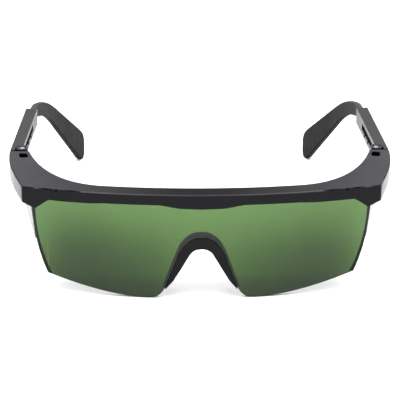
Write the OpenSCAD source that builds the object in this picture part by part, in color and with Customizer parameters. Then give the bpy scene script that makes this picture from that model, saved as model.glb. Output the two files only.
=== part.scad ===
/* [Overall] */
// Widest point, across the hinge ends of the brow frame
overall_w = 158; // [150:1:166]
// Height of the frame's flat top above the surface that the goggles stand on
top_h = 50; // [46:1:54]
// Front-to-back length with the ear pieces pushed home
overall_l = 154; // [150:1:158]

/* [Brow frame] */
// Radius of the front curve, seen from above
front_r = 283; // [240:1:340]
// Half width at the sharp front corner
corner_x = 72; // [70:0.5:74]
// Depth of the brow shelf at its middle
shelf_d = 7.1; // [6.5:0.1:8]
// Distance of the square rear end behind the front edge
end_y = 44.8; // [42:0.2:48]
// Width of the square rear end
end_w = 8.2; // [7.6:0.1:8.6]
// Height of the end pieces
end_h = 7.4; // [7:0.1:8.2]
// Thickness of the front wall
wall = 1.9; // [1.6:0.1:2.1]

/* [Lens] */
// Thickness of the lens
lens_t = 2.2; // [1.8:0.1:2.4]
// Backward lean of the lens towards the cheeks, in degrees
lens_lean = 6; // [4:0.5:8]
// Half width of the lens at its widest
lens_x = 68.5; // [67.5:0.1:68.7]
// Height of the top of the nose cut-out, below the frame's top
nose_cut_z = 21; // [19:0.5:24]

/* [Nose piece] */
// Depth of the nose piece behind the lens
nose_d = 6.5; // [5:0.5:8]
// Width of its band over the bridge, seen from the front
nose_band = 5.5; // [5:0.25:6]

/* [Side shields] */
// Thickness of the clear shields
shield_t = 1.2; // [1:0.1:1.5]
// Length of a shield along its top edge
shield_l = 11; // [8:1:14]
// Height of a shield along the lens
shield_h = 20.6; // [16:0.2:22]

/* [Hinges] */
// Half distance between the two hinge screws
hinge_x = 74; // [73.8:0.1:74.2]
// Distance of the screws behind the front edge
hinge_y = 48.2; // [48:0.1:48.4]
// Radius of the frame's knuckles
knuckle_r = 2.4; // [2.3:0.1:2.5]
// Radius of the screw shank
screw_r = 0.8; // [0.7:0.05:0.9]
// Radius of the screw head
head_r = 1.1; // [1:0.05:1.2]
// Width of the open joint between a frame end and its sleeve
joint_gap = 1.2; // [0.6:0.1:1.4]

/* [Temples] */
// Inward slant of the sleeves, in degrees
slant = 5; // [4:0.5:6]
// Length of a sleeve from the frame's end to its square back end
sleeve_l = 46.7; // [44:0.1:50]
// Width of a sleeve
sleeve_w = 5; // [4.8:0.1:5.4]
// Height of a sleeve
sleeve_h = 7; // [6.8:0.1:7.4]
// Length of the window in a sleeve's inner side
window_l = 25; // [22:1:27]
// Height of that window
window_h = 3; // [2.6:0.1:3.2]
// Pitch of the three click notches below the window
notch_pitch = 7; // [6:0.5:7.5]

/* [Ear pieces] */
// Thickness of the ear band
ear_t = 2.4; // [2:0.1:2.5]
// Inward slant of the ear hooks, in degrees
hook_slant = 18; // [15:0.5:20]

/* [Hidden] */
$fn = 64;

BLACK = [0.13, 0.13, 0.14];
GREEN = [0.25, 0.45, 0.2, 0.8];
CLEAR = [0.85, 0.87, 0.88, 0.5];
STEEL = [0.8, 0.8, 0.82];

half_w = overall_w / 2;
// Clearance where one piece slides or turns in another
play = 0.2;
// Overlap that keeps cuts clean
cut = 0.1;
// Longer than anything that it cuts
reach = 60;
// Height of the frame's shelf between the end pieces
shelf_h = 4.8;
// Skin left above the lens
lens_top = 1.2;

// A cubic curve through four control points, as n + 1 points
function bezier(a, b, c, d, n) =
    [for (i = [0 : n]) let (t = i / n, u = 1 - t)
        u * u * u * a + 3 * u * u * t * b + 3 * u * t * t * c + t * t * t * d];
// Depth of the front curve at x, measured back from its middle
function front_y(x) = front_r - sqrt(front_r * front_r - x * x);
function flip(points) = [for (i = [len(points) - 1 : -1 : 0]) [-points[i][0], points[i][1]]];
// A right-hand outline, closed by its mirror image
function both_halves(points) = concat(points, flip(points));

// Everything is drawn from the middle of the front edge, with z = 0 at the frame's flat top
module placed() {
    translate([0, -overall_l / 2, top_h]) children();
}
module on_side(side) {
    mirror([side < 0 ? 1 : 0, 0, 0]) children();
}
// Stands a front-view (x, z) outline up as a slab from y0 to y1
module front_slab(y0, y1) {
    translate([0, y1, 0]) rotate([90, 0, 0]) linear_extrude(y1 - y0) children();
}

// ---------- brow frame ----------
front_arc = [for (i = [0 : 12]) let (x = corner_x * i / 12) [x, front_y(x)]];
side_curve = bezier([corner_x, front_y(corner_x)], [corner_x + 3.5, 20.5],
                    [half_w + 0.3, 31], [half_w, end_y], 12);
shelf_turn_x = 38;
end_inner_x = half_w - end_w;
back_curve = bezier([end_inner_x, end_y], [end_inner_x - 5.3, 25],
                    [shelf_turn_x + 17, 11.3],
                    [shelf_turn_x, front_y(shelf_turn_x) + shelf_d], 16);
back_arc = [for (i = [5 : -1 : 1]) let (x = shelf_turn_x * i / 6) [x, front_y(x) + shelf_d]];
frame_half = concat([for (i = [1 : 11]) front_arc[i]], side_curve, back_curve, back_arc);

// The front wall's lower edge: a shallow dip over the nose, and a tab below each end
dip = [[0, -6.5], [9, -6.2], [13, -5.5], [17, -4.75], [21, -4.5]];
lip = [[27, -4.4], [39, -4.8], [45, -5.2], [57, -5.2], [61, -5.1]];
tab = [[63.2, -6.3], [66.5, -8.9], [68.2, -8.8], [corner_x, -end_h + 0.2]];
wall_edge = concat(dip, lip, tab);
side_x = half_w + 5;

module frame_outline() {
    polygon(both_halves(concat([[0, 0]], frame_half, [[0, shelf_d]])));
}
// Everything above the lower edge, from y = -1 back to y1
module above_wall_edge(y1) {
    front_slab(-1, y1)
        polygon(both_halves(concat([[0, 0]], wall_edge, [[side_x, -end_h], [side_x, 0]])));
}
module frame_front_wall() {
    intersection() {
        translate([0, 0, -10]) linear_extrude(10) difference() {
            frame_outline();
            translate([0, front_r]) circle(r = front_r - wall, $fn = 256);
        }
        above_wall_edge(20);
    }
}
module frame_shelf() {
    translate([0, 0, -shelf_h]) linear_extrude(shelf_h) frame_outline();
}
module frame_end() {
    end_start = 60.5;
    intersection() {
        translate([0, 0, -end_h]) linear_extrude(end_h) frame_outline();
        translate([end_start, 0, -end_h]) cube([side_x - end_start, end_y, end_h]);
        above_wall_edge(end_y + 1);
    }
}
// Space for the lens and its play, cut up into the shelf from below
module lens_slot() {
    slot_play = 0.15;
    intersection() {
        rotate([lens_lean, 0, 0]) translate([0, 0, -20]) linear_extrude(25) lens_plan(slot_play);
        translate([-half_w, -1, -20]) cube([overall_w, 30, 20 - lens_top]);
    }
}
// Thickness of the frame's upper and lower knuckles; the upper one is level with the frame's top
upper_h = 2.2;
lower_h = 1.7;
// Radial play of the screw in the temple's lug, and of its head in the counterbore
bore_play = 0.05;
head_play = 0.4;
// Keeps the knuckle's neck clear of the slanted sleeve
neck_trim = 0.4;
neck_w = 2 * knuckle_r - neck_trim;
lug_h = 2.4;
lug_top = -upper_h - play / 2;
lower_top = lug_top - lug_h - play / 2;
module knuckle(top, h) {
    translate([0, 0, top - h]) linear_extrude(h) {
        translate([hinge_x, hinge_y]) circle(r = knuckle_r);
        translate([hinge_x - knuckle_r, end_y - cut]) square([neck_w, hinge_y - end_y + cut]);
    }
}
head_sink = 0.9;
// Groove that carries the joint line on across the upper knuckle's neck
groove_d = 1;
// Rectangular pocket just ahead of the hinge, in line with the end piece
pocket_w = 2.9;
pocket_l = 4.2;
pocket_x = hinge_x - 2.15;
pocket_y = 42.6;
pocket_turn = 8.5;
pocket_floor = -end_h + 1.2;
module frame_hinge_cuts() {
    translate([hinge_x, hinge_y, -reach / 2]) cylinder(r = screw_r, h = reach);
    translate([hinge_x, hinge_y, -head_sink]) cylinder(r = head_r + head_play, h = reach);
    translate([hinge_x - knuckle_r - cut, end_y, -groove_d]) cube([neck_w + 2 * cut, joint_gap, reach]);
    translate([pocket_x, pocket_y, pocket_floor]) rotate(-pocket_turn) translate([0, -pocket_l, 0])
        cube([pocket_w, pocket_l, end_h]);
}
// Notch in the front top edge, where the lens clips in
clip_x = 57.5;
clip_size = [1.1, 1.3, 2];
module clip_notch() {
    translate([clip_x, front_y(clip_x) - clip_size[1] / 2, -clip_size[2] / 2]) cube(clip_size);
}
module shield_slot() {
    translate([0, 0, -end_h - cut]) linear_extrude(1 + cut) shield_plan(0.1);
}
// Hollow under each end piece, which leaves walls about 1.8 thick
end_floor = 2.2;
end_hollow = concat([[72.6, 17.5]], bezier([73.2, 20], [74.8, 25], [76.6, 31], [77, 36], 6),
                    bezier([71.5, 36], [69.3, 30], [67, 26], [63.5, 22], 6), [[67, 17.5]]);
module brow_frame() {
    color(BLACK) placed() difference() {
        union() {
            frame_shelf();
            frame_front_wall();
            for (side = [-1, 1]) on_side(side) {
                frame_end();
                knuckle(0, upper_h);
                knuckle(lower_top, lower_h);
            }
        }
        lens_slot();
        for (side = [-1, 1]) on_side(side) {
            frame_hinge_cuts();
            clip_notch();
            shield_slot();
            translate([0, 0, -end_h - cut]) linear_extrude(end_h - end_floor) polygon(end_hollow);
        }
    }
}

// ---------- lens ----------
lens_front = 2.2;
lens_bend_x = 61.5;
lens_bend_r = 14;
lens_bend = 35;
// Plan of the lens on the right: a wide arc that turns back more tightly near the edge
function lens_point(inset, u) =
    let (r = front_r - lens_front, a1 = asin(lens_bend_x / r))
    u <= 1
        ? [(r - inset) * sin(a1 * u), front_r - (r - inset) * cos(a1 * u)]
        : let (a = a1 + lens_bend * (u - 1), rb = lens_bend_r,
               cx = (r - rb) * sin(a1), cy = front_r - (r - rb) * cos(a1))
          [cx + (rb - inset) * sin(a), cy - (rb - inset) * cos(a)];
lens_steps = [for (i = [0 : 10]) i / 10, for (i = [1 : 8]) 1 + i / 8];
module lens_plan(grow) {
    outer = [for (u = lens_steps) lens_point(-grow, u)];
    inner = [for (i = [len(lens_steps) - 1 : -1 : 0]) lens_point(lens_t + grow, lens_steps[i])];
    polygon(concat(outer, inner, flip(concat([for (i = [1 : len(outer) - 1]) outer[i]],
                                             [for (i = [0 : len(inner) - 2]) inner[i]]))));
}
lobe_x = 22;
lens_corner = [62.7, -40.7];
lobe_power = 1.62;
// Lower edge: from the outer corner down to the lobe beside the nose
lobe_curve = [for (i = [10 : -1 : 0]) let (t = i / 10)
    [lobe_x + (lens_corner[0] - lobe_x) * t, -top_h + (top_h + lens_corner[1]) * pow(t, lobe_power)]];
cut_top = -nose_cut_z;
lens_side = [[lens_x + 0.1, -11.6], [lens_x - 0.4, -17.3], [lens_x - 1, -23.4],
             [lens_x - 2.4, -30.4], [lens_x - 4.1, -36.1]];
lens_edge = concat([[0, -lens_top - 0.1], [59.5, -lens_top - 0.1], [lens_x + 0.4, -8]], lens_side,
                   lobe_curve,
                   bezier([lobe_x, -top_h], [18.2, -top_h], [16.4, -48.2], [15.1, -45.6], 6),
                   bezier([9.3, -28.7], [6.9, -23.2], [4, cut_top], [0, cut_top], 10));
module lens() {
    color(GREEN) placed() intersection() {
        rotate([lens_lean, 0, 0]) translate([0, 0, -reach]) linear_extrude(reach) lens_plan(0);
        front_slab(-5, 30) polygon(both_halves(lens_edge));
    }
}

// ---------- nose piece ----------
nose_inner = concat([[14.7, -46.1], [11.4, -41.8], [8.3, -36.2]],
                    bezier([5.1, -30], [3.9, -27.7], [2.4, cut_top - nose_band],
                           [0, cut_top - nose_band], 8));
// Outline of the nose piece; grow moves its outer side beyond the lens's cut-out, drop lowers its top
module nose_outline(grow, drop) {
    top = cut_top + grow - drop;
    arch = bezier([0, top], [4 + grow, top], [6.9 + grow, -23.2 + grow - drop], [9.3 + grow, -28.7], 8);
    polygon(both_halves(concat(arch, [[15 + grow, -45.4]], nose_inner)));
}
// A shell that follows the lens, from depth d0 to d1 behind its front surface
module nose_shell(d0, d1) {
    rotate([lens_lean, 0, 0]) translate([0, 0, -reach]) linear_extrude(reach) difference() {
        translate([0, front_r]) circle(r = front_r - lens_front - d0, $fn = 256);
        translate([0, front_r]) circle(r = front_r - lens_front - d1, $fn = 256);
    }
}
module nose_piece() {
    fit = -0.1;
    // Keeps the flange off the lens's back
    seat = 0.05;
    front_inset = 0.2;
    flange_t = 1.5;
    flange_w = 0.8;
    pad_drop = 0.8;
    color(BLACK) placed() {
        // Band inside the lens's cut-out
        intersection() {
            nose_shell(front_inset, lens_t + cut);
            front_slab(-5, 30) nose_outline(fit, 0);
        }
        // Flange behind the lens
        intersection() {
            nose_shell(lens_t + seat, lens_t + flange_t);
            front_slab(-5, 30) nose_outline(flange_w, 0);
        }
        // Pads that rest on the nose
        intersection() {
            nose_shell(lens_t + flange_t - cut, lens_t + nose_d);
            front_slab(-5, 30) nose_outline(fit, pad_drop);
        }
    }
}

// ---------- side shields ----------
shield_y = 15.5;
shield_x = 68.5;
shield_turn = 20;
shield_in = 0.8;
// Inward lean, in degrees, that follows the lens's side edge
shield_lean = 7;
module shield_plan(grow) {
    translate([shield_x, shield_y]) rotate(-shield_turn)
        translate([-shield_t / 2 - grow, -grow]) square([shield_t + 2 * grow, shield_l + 2 * grow]);
}
module side_shield(side) {
    color(CLEAR) placed() on_side(side)
        translate([shield_x, shield_y, -end_h]) rotate([0, 0, -shield_turn]) rotate([0, shield_lean, 0])
            translate([-shield_t / 2, 0, 0]) rotate([90, 0, 90]) linear_extrude(shield_t)
                polygon([[0, shield_in], [shield_l, shield_in], [shield_l, -8.4], [8.3, -12.6],
                         [6, -17.2], [4.2, -shield_h], [3.3, -shield_h]]);
}

// ---------- hinge screws ----------
module hinge_screw(side) {
    head_h = 0.75;
    slot_w = 0.4;
    slot_d = 0.35;
    head_z = -head_sink;
    low_z = lower_top - lower_h;
    color(STEEL) placed() on_side(side) translate([hinge_x, hinge_y, 0]) {
        translate([0, 0, low_z]) cylinder(r = screw_r, h = head_z - low_z);
        difference() {
            translate([0, 0, head_z]) cylinder(r = head_r, h = head_h);
            translate([-head_r - cut, -slot_w / 2, head_z + head_h - slot_d])
                cube([2 * (head_r + cut), slot_w, head_h]);
        }
    }
}

// ---------- temples ----------
// A sleeve is drawn along +y from the frame's end, with its outer side at x = 0
outer_wall = 1.3;
flange = 1;
channel_w = ear_t + 2 * play;
channel_h = sleeve_h - 2 * flange;
lip_h = 1.8;
window_y = 8.2;
// The hinge axis in the sleeve's own axes, and the pocket that turns around the frame's knuckles
axis_x = (hinge_x - half_w) * cos(slant) + (hinge_y - end_y) * sin(slant);
axis_y = (half_w - hinge_x) * sin(slant) + (hinge_y - end_y) * cos(slant);
turn_r = knuckle_r + 0.3;
inner_x = -sleeve_w - 1;
window_d = sleeve_w - outer_wall - channel_w + 1.1;
window_z = -sleeve_h + lip_h + 0.4;
notch_l = 1.6;
notch_d = 0.7;
module sleeve_place(side) {
    placed() on_side(side) translate([half_w, end_y, 0]) rotate(slant) children();
}
module knuckle_pocket() {
    translate([axis_x, axis_y]) circle(r = turn_r);
    translate([inner_x, -3]) square([axis_x - inner_x, axis_y + turn_r + 3]);
    translate([inner_x, -3]) square([axis_x + turn_r - inner_x, axis_y + 3]);
}
module sleeve_body() {
    difference() {
        translate([-sleeve_w, joint_gap, -sleeve_h]) cube([sleeve_w, sleeve_l - joint_gap, sleeve_h]);
        translate([0, 0, -sleeve_h - 1]) linear_extrude(sleeve_h + 2) knuckle_pocket();
        // Channel for the ear piece, open at the back
        translate([-outer_wall - channel_w, window_y, -flange - channel_h])
            cube([channel_w, sleeve_l, channel_h]);
        // Window in the inner side, with click notches in the lip below it
        translate([inner_x, window_y, window_z]) cube([window_d, window_l, window_h]);
        for (i = [0 : 2])
            translate([inner_x, window_y + 4 + i * notch_pitch, window_z - notch_d - 0.4])
                cube([window_d, notch_l, 2]);
    }
}
module sleeve(side) {
    color(BLACK) difference() {
        union() {
            sleeve_place(side) sleeve_body();
            placed() on_side(side) translate([0, 0, lug_top - lug_h]) linear_extrude(lug_h) {
                translate([hinge_x, hinge_y]) circle(r = knuckle_r - 0.2);
                translate([hinge_x, hinge_y]) rotate(slant) translate([-knuckle_r + 0.6, 0])
                    square([2 * knuckle_r - 1.2, 5.2]);
            }
        }
        placed() on_side(side) translate([hinge_x, hinge_y, -reach / 2])
            cylinder(r = screw_r + bore_play, h = reach);
    }
}

// ---------- ear pieces ----------
tang_h = channel_h - 2 * play;
tang_y = window_y + 1.5;
tang_end = sleeve_l + 2.2;
// Side view of the hook, as distance back from the bend and height below the frame's top
hook_top = bezier([0, -flange - play - 0.1], [12, 0.2], [20, -5.4], [30.4, -13.1], 12);
hook_back = bezier([57.6, -33.4], [61.5, -36.4], [64.4, -38.4], [64.2, -43.5], 6);
hook_tip = bezier([63.9, -46.5], [63.4, -50], [60.5, -top_h - 1.2], [57.4, -48.6], 6);
hook_low = bezier([29.6, -22.4], [20.5, -13.4], [13, -6.8], [0, -flange - play - tang_h + 0.1], 12);
// Plan of the band, which bends smoothly inward just behind the sleeve
bend_r = 30;
bend = hook_slant - slant;
hook_l = 66;
function bend_point(inset, a) = [(bend_r - inset) * cos(a) - bend_r, (bend_r - inset) * sin(a)];
function past_bend(inset) = bend_point(inset, bend) + hook_l * [-sin(bend), cos(bend)];
bend_out = [for (i = [0 : 6]) bend_point(0, bend * i / 6)];
bend_in = [for (i = [6 : -1 : 0]) bend_point(ear_t, bend * i / 6)];
module hook_plan() {
    polygon(concat(bend_out, [past_bend(0), past_bend(ear_t)], bend_in));
}
module ear_piece(side) {
    color(BLACK) sleeve_place(side) {
        translate([-outer_wall - play - ear_t, tang_y, -flange - play - tang_h])
            cube([ear_t, tang_end - tang_y, tang_h]);
        translate([-outer_wall - play, tang_end - 0.5, 0]) intersection() {
            translate([0, 0, -reach]) linear_extrude(2 * reach) hook_plan();
            rotate(bend) translate([-reach / 2, 0, 0]) rotate([90, 0, 90]) linear_extrude(reach)
                polygon(concat(hook_top, hook_back, hook_tip, hook_low));
        }
    }
}

brow_frame();
lens();
nose_piece();
side_shield(-1);  // left_side_shield
side_shield(1);  // right_side_shield
hinge_screw(-1);  // left_hinge_screw
hinge_screw(1);  // right_hinge_screw
sleeve(-1);  // left_sleeve
sleeve(1);  // right_sleeve
ear_piece(-1);  // left_ear_piece
ear_piece(1);  // right_ear_piece
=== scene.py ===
import math

import bmesh
import bpy
from mathutils import Matrix, Vector


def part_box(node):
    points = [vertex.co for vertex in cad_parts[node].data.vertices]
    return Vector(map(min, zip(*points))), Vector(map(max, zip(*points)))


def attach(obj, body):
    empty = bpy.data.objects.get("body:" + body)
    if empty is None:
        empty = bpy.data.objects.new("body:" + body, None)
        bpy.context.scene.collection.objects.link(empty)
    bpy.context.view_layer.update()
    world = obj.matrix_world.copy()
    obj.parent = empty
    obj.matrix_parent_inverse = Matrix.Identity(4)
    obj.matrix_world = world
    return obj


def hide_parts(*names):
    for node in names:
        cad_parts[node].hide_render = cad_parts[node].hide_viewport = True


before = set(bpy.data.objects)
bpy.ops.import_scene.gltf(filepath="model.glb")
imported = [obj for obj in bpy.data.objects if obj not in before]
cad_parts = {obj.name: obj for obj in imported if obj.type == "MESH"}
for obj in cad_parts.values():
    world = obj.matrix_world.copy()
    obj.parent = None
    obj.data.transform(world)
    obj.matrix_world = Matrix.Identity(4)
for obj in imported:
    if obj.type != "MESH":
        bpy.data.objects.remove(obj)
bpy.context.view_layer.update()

# Places are measured from the brow frame's front edge and flat top, in metres unless marked MM
FRAME_LOW, FRAME_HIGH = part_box("brow_frame")
FRONT, TOP = FRAME_LOW.y, FRAME_HIGH.z
MM = 0.001

# The camera's angles round the goggles, its distance, and the point that it looks at
CAMERA_AZIMUTH = math.radians(-1.59)
CAMERA_ELEVATION = math.radians(25.0)
CAMERA_ROLL = math.radians(0.41)
CAMERA_DISTANCE = 0.8
CAMERA_LENS = 172.0
CAMERA_AIM = Vector((0.1 * MM, FRONT + 40.0 * MM, TOP - 20.7 * MM))

# Painted shade darkens the lens's green between the start and end heights below the frame's top, most of
# all over each eye:
# the list across gives its strength by the distance from the middle, as a share of the reach
SHADE_START, SHADE_END = -0.004, 0.041
SHADE_REACH = 0.07
SHADE_ACROSS = [(0.0, 0.45), (0.19, 0.58), (0.3, 0.72), (0.48, 0.86), (0.64, 1.0), (0.78, 0.88),
               (0.86, 0.65), (0.94, 0.35)]
# The painted shade is stronger by this share at the left edge, and weaker by it at the right
SHADE_TILT = 0.09
# The lens's side outline is x = EDGE_X - EDGE_CURVE * h * h, for a height h below EDGE_TOP, and a band
# of painted shade EDGE_BAND wide runs inside it
EDGE_X, EDGE_TOP, EDGE_CURVE, EDGE_BAND = 0.0686, 0.0116, 7.0, 0.0016

# Points of one piece closer than this are one point, and faces this close to flat are one face
SAME_POINT = 0.002 * MM
FLAT_ANGLE = math.radians(0.4)
# Only edges sharper than SHARP_ANGLE are rounded, and shading breaks at edges sharper than SMOOTH_ANGLE
SHARP_ANGLE = math.radians(30.0)
SMOOTH_ANGLE = math.radians(40.0)
# An edge is left sharp where a neighbour is shorter than this many radii, which has no room for rounding
CROWDED = 2.3

FLOOR_HALF = 6.0
# The room's grey by the sine of the height above the horizon, which only reflections and light show
ROOM_GREYS = [(0.0, 0.22), (0.42, 0.27), (0.6, 1.0), (1.0, 1.3)]
ROOM_STRENGTH = 1.5


# ---------------------------------------------------------------- camera
def make_camera():
    az, el, roll = CAMERA_AZIMUTH, CAMERA_ELEVATION, CAMERA_ROLL
    back = Vector((math.sin(az) * math.cos(el), -math.cos(az) * math.cos(el), math.sin(el)))
    right = Vector((0, 0, 1)).cross(back).normalized()
    up = back.cross(right)
    turned_right = right * math.cos(roll) + up * math.sin(roll)
    turned_up = up * math.cos(roll) - right * math.sin(roll)
    data = bpy.data.cameras.new("camera")
    data.lens = CAMERA_LENS
    data.sensor_width = 36.0
    data.clip_start = 0.01
    camera = bpy.data.objects.new("camera", data)
    turn = Matrix((turned_right, turned_up, back)).transposed().to_4x4()
    camera.matrix_world = Matrix.Translation(CAMERA_AIM + back * CAMERA_DISTANCE) @ turn
    bpy.context.scene.collection.objects.link(camera)
    bpy.context.scene.camera = camera


# ---------------------------------------------------------------- materials
class Nodes:
    """Short names for building a node tree."""

    def __init__(self, name):
        self.material = bpy.data.materials.new(name)
        self.material.use_nodes = True
        self.tree = self.material.node_tree
        self.tree.nodes.clear()
        self.shader = self.add("ShaderNodeBsdfPrincipled")
        self.output = self.add("ShaderNodeOutputMaterial")
        self.join(self.shader.outputs["BSDF"], self.output.inputs["Surface"])
        self.place = self.add("ShaderNodeTexCoord").outputs["Object"]

    def add(self, kind, **values):
        node = self.tree.nodes.new(kind)
        for key, value in values.items():
            setattr(node, key, value)
        return node

    def join(self, a, b):
        self.tree.links.new(a, b)

    def axes(self, vector):
        split = self.add("ShaderNodeSeparateXYZ")
        self.join(vector, split.inputs["Vector"])
        return split.outputs

    def maths(self, operation, *values):
        node = self.add("ShaderNodeMath", operation=operation)
        for socket, value in zip(node.inputs, values):
            if isinstance(value, (int, float)):
                socket.default_value = value
            else:
                self.join(value, socket)
        return node.outputs["Value"]

    def noise(self, scale, detail=2.0, roughness=0.5):
        node = self.add("ShaderNodeTexNoise")
        node.inputs["Scale"].default_value = scale
        node.inputs["Detail"].default_value = detail
        node.inputs["Roughness"].default_value = roughness
        self.join(self.place, node.inputs["Vector"])
        return node.outputs["Fac"]

    def ramp(self, source, stops):
        node = self.add("ShaderNodeValToRGB")
        elements = node.color_ramp.elements
        while len(elements) < len(stops):
            elements.new(0.5)
        for element, (position, colour) in zip(elements, stops):
            element.position = position
            element.color = (*colour, 1.0)
        self.join(source, node.inputs["Fac"])
        return node.outputs["Color"]

    def mottle(self, scale, dark, light, detail=3.0, full=0.7):
        """A colour that drifts between two close shades."""
        return self.ramp(self.noise(scale, detail), [(0.3, dark), (full, light)])

    def span(self, source, low, high, from_low=0.0, from_high=1.0):
        """The source's range from_low to from_high, stretched to low to high."""
        node = self.add("ShaderNodeMapRange")
        node.inputs["From Min"].default_value = from_low
        node.inputs["From Max"].default_value = from_high
        node.inputs["To Min"].default_value = low
        node.inputs["To Max"].default_value = high
        self.join(source, node.inputs["Value"])
        return node.outputs["Result"]

    def bump(self, source, distance, strength=1.0, normal=None):
        """Relief of the given depth in metres, over another relief's normal if there is one."""
        node = self.add("ShaderNodeBump")
        node.inputs["Distance"].default_value = distance
        node.inputs["Strength"].default_value = strength
        self.join(source, node.inputs["Height"])
        if normal is not None:
            self.join(normal, node.inputs["Normal"])
        return node.outputs["Normal"]


def moulded_black(name, plain, painted_highlight, rough, sheen, side_sheen, highlight_reach=(0.01, 0.08), tops=(0.4, 0.95)):
    """Satin moulded plastic: fine grain, faint flow marks and polished sides. Its colour turns from
    plain to a lighter painted highlight between the two given distances from the middle, on faces whose
    normal's z
    is in or past the range in tops: light painted into the colour towards the ends."""
    n = Nodes(name)
    split = n.axes(n.place)
    out = n.span(n.maths("ABSOLUTE", split["X"]), 0.0, 1.0, *highlight_reach)
    facing = n.axes(n.add("ShaderNodeNewGeometry").outputs["Normal"])
    # Painted highlight: how much lighter colour is painted in, growing towards the ends on the faces
    # chosen by tops
    highlight_mask = n.maths("MULTIPLY", out, n.span(facing["Z"], 0.0, 1.0, *tops))
    sideways = n.maths("ABSOLUTE", facing["X"])
    shade = n.ramp(highlight_mask, [(0.0, plain), (1.0, painted_highlight)])
    cloud = n.mottle(90.0, (0.88, 0.88, 0.88), (1.0, 1.0, 1.0))
    mix = n.add("ShaderNodeMix", data_type="RGBA", blend_type="MULTIPLY")
    mix.inputs["Factor"].default_value = 1.0
    n.join(shade, mix.inputs[6])
    n.join(cloud, mix.inputs[7])
    n.join(mix.outputs[2], n.shader.inputs["Base Color"])
    n.join(n.span(n.noise(260.0, 3.0), rough - 0.03, rough + 0.05, 0.3, 0.7),
           n.shader.inputs["Roughness"])
    flow = n.bump(n.noise(420.0, 1.0), distance=0.01 * MM, strength=0.3)
    grain = n.bump(n.noise(9000.0, 1.0), distance=0.003 * MM, strength=0.8, normal=flow)
    n.join(grain, n.shader.inputs["Normal"])
    n.join(n.span(sideways, sheen, side_sheen, 0.6, 0.95), n.shader.inputs["Specular IOR Level"])
    return n.material


def soft_rubber():
    """Matt black nose rubber."""
    n = Nodes("nose_rubber")
    n.join(n.mottle(150.0, (0.003, 0.003, 0.0035), (0.006, 0.006, 0.007), full=0.75),
           n.shader.inputs["Base Color"])
    n.join(n.span(n.noise(300.0, 3.0), 0.42, 0.55), n.shader.inputs["Roughness"])
    n.join(n.bump(n.noise(6000.0, 3.0), distance=0.01 * MM), n.shader.inputs["Normal"])
    n.shader.inputs["Specular IOR Level"].default_value = 0.12
    return n.material


def green_lens():
    """Dyed green polycarbonate, with painted shade darker downwards and over each eye, and at its side
    edges.
    """
    n = Nodes("green_lens")
    split = n.axes(n.place)
    across = n.maths("ABSOLUTE", split["X"])
    level = n.add("ShaderNodeMapRange", interpolation_type="SMOOTHSTEP")
    level.inputs["From Min"].default_value = TOP - SHADE_START
    level.inputs["From Max"].default_value = TOP - SHADE_END
    n.join(split["Z"], level.inputs["Value"])
    grey = [(position, (value, value, value)) for position, value in SHADE_ACROSS]
    spread = n.ramp(n.span(across, 0.0, 1.0, 0.0, SHADE_REACH), grey)
    tilt = n.span(split["X"], 1.0 + SHADE_TILT, 1.0 - SHADE_TILT, -EDGE_X, EDGE_X)
    # Painted shade: how far the green is darkened, by height, by distance from the middle and from left
    # to right
    painted_shade = n.maths("MULTIPLY", n.maths("MULTIPLY", level.outputs["Result"], spread), tilt)
    green_and_shade = n.ramp(painted_shade, [(0.0, (0.084, 0.173, 0.045)), (0.33, (0.053, 0.114, 0.026)),
                          (0.6, (0.031, 0.07, 0.013)), (0.8, (0.021, 0.05, 0.01)),
                          (1.0, (0.017, 0.041, 0.008))])
    n.join(green_and_shade, n.shader.inputs["Base Color"])
    n.join(n.span(n.noise(500.0, 3.0), 0.015, 0.04), n.shader.inputs["Roughness"])
    n.join(n.bump(n.noise(60.0, 1.0), distance=0.01 * MM, strength=0.2), n.shader.inputs["Normal"])
    n.shader.inputs["Transmission Weight"].default_value = 1.0
    n.shader.inputs["IOR"].default_value = 1.4
    # Painted shade: below the frame a narrow band along the side outline is drawn almost black
    below = n.maths("MAXIMUM", n.maths("SUBTRACT", TOP - EDGE_TOP, split["Z"]), 0.0)
    curve = n.maths("MULTIPLY", n.maths("MULTIPLY", below, below), EDGE_CURVE)
    inset = n.maths("SUBTRACT", n.maths("SUBTRACT", EDGE_X, curve), across)
    edge_shade_mask = n.span(inset, 1.0, 0.0, EDGE_BAND * 0.85, EDGE_BAND * 1.15)
    painted_edge_shade = n.add("ShaderNodeBsdfPrincipled")
    painted_edge_shade.inputs["Roughness"].default_value = 0.3
    painted_edge_shade.inputs["Specular IOR Level"].default_value = 0.1
    n.join(n.mottle(200.0, (0.004, 0.007, 0.003), (0.009, 0.013, 0.006)), painted_edge_shade.inputs["Base Color"])
    blend = n.add("ShaderNodeMixShader")
    n.join(edge_shade_mask, blend.inputs["Fac"])
    n.join(n.shader.outputs["BSDF"], blend.inputs[1])
    n.join(painted_edge_shade.outputs["BSDF"], blend.inputs[2])
    n.join(blend.outputs["Shader"], n.output.inputs["Surface"])
    return n.material


def clear_plastic():
    """Clear, faintly smoky side shield."""
    n = Nodes("clear_shield")
    n.join(n.mottle(80.0, (0.2, 0.203, 0.21), (0.24, 0.243, 0.25), detail=2.0),
           n.shader.inputs["Base Color"])
    n.join(n.span(n.noise(700.0, 3.0), 0.04, 0.12), n.shader.inputs["Roughness"])
    n.join(n.bump(n.noise(90.0, 1.0), distance=0.01 * MM, strength=0.3), n.shader.inputs["Normal"])
    n.shader.inputs["Transmission Weight"].default_value = 0.95
    n.shader.inputs["IOR"].default_value = 1.5
    return n.material


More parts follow.
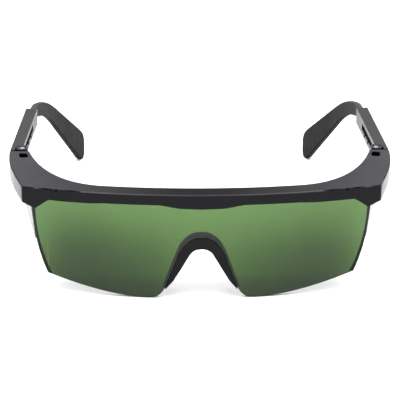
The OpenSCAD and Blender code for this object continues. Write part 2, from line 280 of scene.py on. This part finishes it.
def bright_steel():
    """Bright screw steel."""
    n = Nodes("bright_steel")
    n.join(n.mottle(1500.0, (0.62, 0.62, 0.63), (0.8, 0.8, 0.8)), n.shader.inputs["Base Color"])
    n.join(n.span(n.noise(4000.0, 2.0), 0.2, 0.34), n.shader.inputs["Roughness"])
    n.join(n.bump(n.noise(9000.0), distance=0.006 * MM), n.shader.inputs["Normal"])
    n.shader.inputs["Metallic"].default_value = 1.0
    return n.material


# ---------------------------------------------------------------- mesh helpers
def add_object(name, mesh):
    obj = bpy.data.objects.new(name, mesh)
    bpy.context.scene.collection.objects.link(obj)
    return obj


def apply_modifiers(obj):
    bpy.context.view_layer.update()
    evaluated = obj.evaluated_get(bpy.context.evaluated_depsgraph_get())
    mesh = bpy.data.meshes.new_from_object(evaluated)
    obj.modifiers.clear()
    obj.data = mesh


def rounded_copy(node, name, material, radius, segments=3):
    """A copy of a CAD node, its flat faces made whole again and its long edges rounded by radius mm."""
    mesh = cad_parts[node].data.copy()
    obj = add_object(name, mesh)
    work = bmesh.new()
    work.from_mesh(mesh)
    bmesh.ops.remove_doubles(work, verts=work.verts, dist=SAME_POINT)
    bmesh.ops.dissolve_limit(work, angle_limit=FLAT_ANGLE, verts=work.verts, edges=work.edges)
    bmesh.ops.recalc_face_normals(work, faces=work.faces)
    weight = work.edges.layers.float.new("bevel_weight_edge")
    reach = CROWDED * radius * MM
    crowded = {v for e in work.edges if e.calc_length() < reach for v in e.verts}
    for edge in work.edges:
        free = not (edge.verts[0] in crowded or edge.verts[1] in crowded)
        if free and edge.calc_face_angle(0.0) > SHARP_ANGLE:
            edge[weight] = 1.0
    work.to_mesh(mesh)
    work.free()
    bevel = obj.modifiers.new("round", "BEVEL")
    bevel.width = radius * MM
    bevel.segments = segments
    bevel.limit_method = "WEIGHT"
    bevel.miter_outer = "MITER_ARC"
    bevel.use_clamp_overlap = False
    apply_modifiers(obj)
    obj.data.materials.clear()
    obj.data.materials.append(material)
    for face in obj.data.polygons:
        face.use_smooth = True
    obj.data.set_sharp_from_angle(angle=SMOOTH_ANGLE)
    level = obj.modifiers.new("level", "WEIGHTED_NORMAL")
    level.keep_sharp = True
    level.weight = 100
    return obj


def skin(node, name, body, material, radius, segments=3):
    """The rounded copy of one CAD node, which rides on the node's body and is shown in its place."""
    piece = rounded_copy(node, name, material, radius, segments)
    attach(piece, body)
    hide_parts(node)


# ---------------------------------------------------------------- pieces
def make_pieces():
    # The second colour of each plastic is a painted highlight towards its ends
    frame_black = moulded_black("frame_plastic", plain=(0.002, 0.002, 0.0035),
                                painted_highlight=(0.048, 0.048, 0.054), rough=0.21, sheen=0.135, side_sheen=0.28)
    temple_black = moulded_black("temple_plastic", plain=(0.01, 0.01, 0.012),
                                 painted_highlight=(0.042, 0.04, 0.044), rough=0.27, sheen=0.22, side_sheen=0.45)
    ear_black = moulded_black("ear_plastic", plain=(0.003, 0.003, 0.004),
                              painted_highlight=(0.085, 0.085, 0.09), rough=0.42, sheen=0.03, side_sheen=0.03,
                              highlight_reach=(0.06, 0.074), tops=(-0.4, 0.3))
    green = green_lens()
    clear = clear_plastic()
    steel = bright_steel()
    skin("brow_frame", "brow_frame_skin", "front", frame_black, radius=0.4, segments=1)
    skin("lens", "lens_skin", "front", green, radius=0.2)
    skin("nose_piece", "nose_piece_skin", "front", soft_rubber(), radius=0.3)
    for side in ("left", "right"):
        skin(side + "_side_shield", side + "_shield_skin", "front", clear, radius=0.2)
        skin(side + "_hinge_screw", side + "_screw_skin", "front", steel, radius=0.05)
        skin(side + "_sleeve", side + "_sleeve_skin", side + "_temple", temple_black,
             radius=0.25, segments=1)
        skin(side + "_ear_piece", side + "_ear_skin", side + "_ear", ear_black,
             radius=0.6, segments=4)


# ---------------------------------------------------------------- room and light
def make_floor():
    """A white sheet that fills the picture, with a faint glow that keeps it white to the edges."""
    mesh = bpy.data.meshes.new("floor")
    corners = [(x * FLOOR_HALF, y * FLOOR_HALF, 0.0) for x, y in ((-1, -1), (1, -1), (1, 1), (-1, 1))]
    mesh.from_pydata(corners, [], [(0, 1, 2, 3)])
    floor = add_object("floor", mesh)
    n = Nodes("floor_paint")
    n.join(n.mottle(3.0, (0.9, 0.9, 0.9), (0.93, 0.93, 0.93), detail=2.0),
           n.shader.inputs["Base Color"])
    n.shader.inputs["Roughness"].default_value = 0.9
    n.shader.inputs["Emission Color"].default_value = (1.0, 1.0, 1.0, 1.0)
    n.shader.inputs["Emission Strength"].default_value = 0.06
    n.shader.inputs["Specular IOR Level"].default_value = 0.1
    mesh.materials.append(n.material)


def area_light(name, at, aim, size, power):
    data = bpy.data.lights.new(name, "AREA")
    data.shape = "RECTANGLE"
    data.size, data.size_y = size
    data.energy = power
    light = bpy.data.objects.new(name, data)
    light.location = at
    light.rotation_euler = (Vector(aim) - Vector(at)).to_track_quat("-Z", "Y").to_euler()
    bpy.context.scene.collection.objects.link(light)


def make_lights():
    world = bpy.data.worlds.new("studio")
    bpy.context.scene.world = world
    world.use_nodes = True
    tree = world.node_tree
    direction = tree.nodes.new("ShaderNodeTexCoord").outputs["Generated"]
    split = tree.nodes.new("ShaderNodeSeparateXYZ")
    tree.links.new(direction, split.inputs["Vector"])
    ramp = tree.nodes.new("ShaderNodeValToRGB")
    while len(ramp.color_ramp.elements) < len(ROOM_GREYS):
        ramp.color_ramp.elements.new(0.5)
    for element, (height, value) in zip(ramp.color_ramp.elements, ROOM_GREYS):
        element.position = height
        element.color = (value, value, value * 1.01, 1.0)
    tree.links.new(split.outputs["Z"], ramp.inputs["Fac"])
    background = tree.nodes["Background"]
    tree.links.new(ramp.outputs["Color"], background.inputs["Color"])
    background.inputs["Strength"].default_value = ROOM_STRENGTH
    area_light("key_box", at=(0.0, -0.45, 1.1), aim=(0.0, 0.0, 0.0), size=(1.6, 0.18), power=13.5)
    bpy.context.scene.view_settings.view_transform = "Standard"


make_camera()
make_floor()
make_lights()
make_pieces()
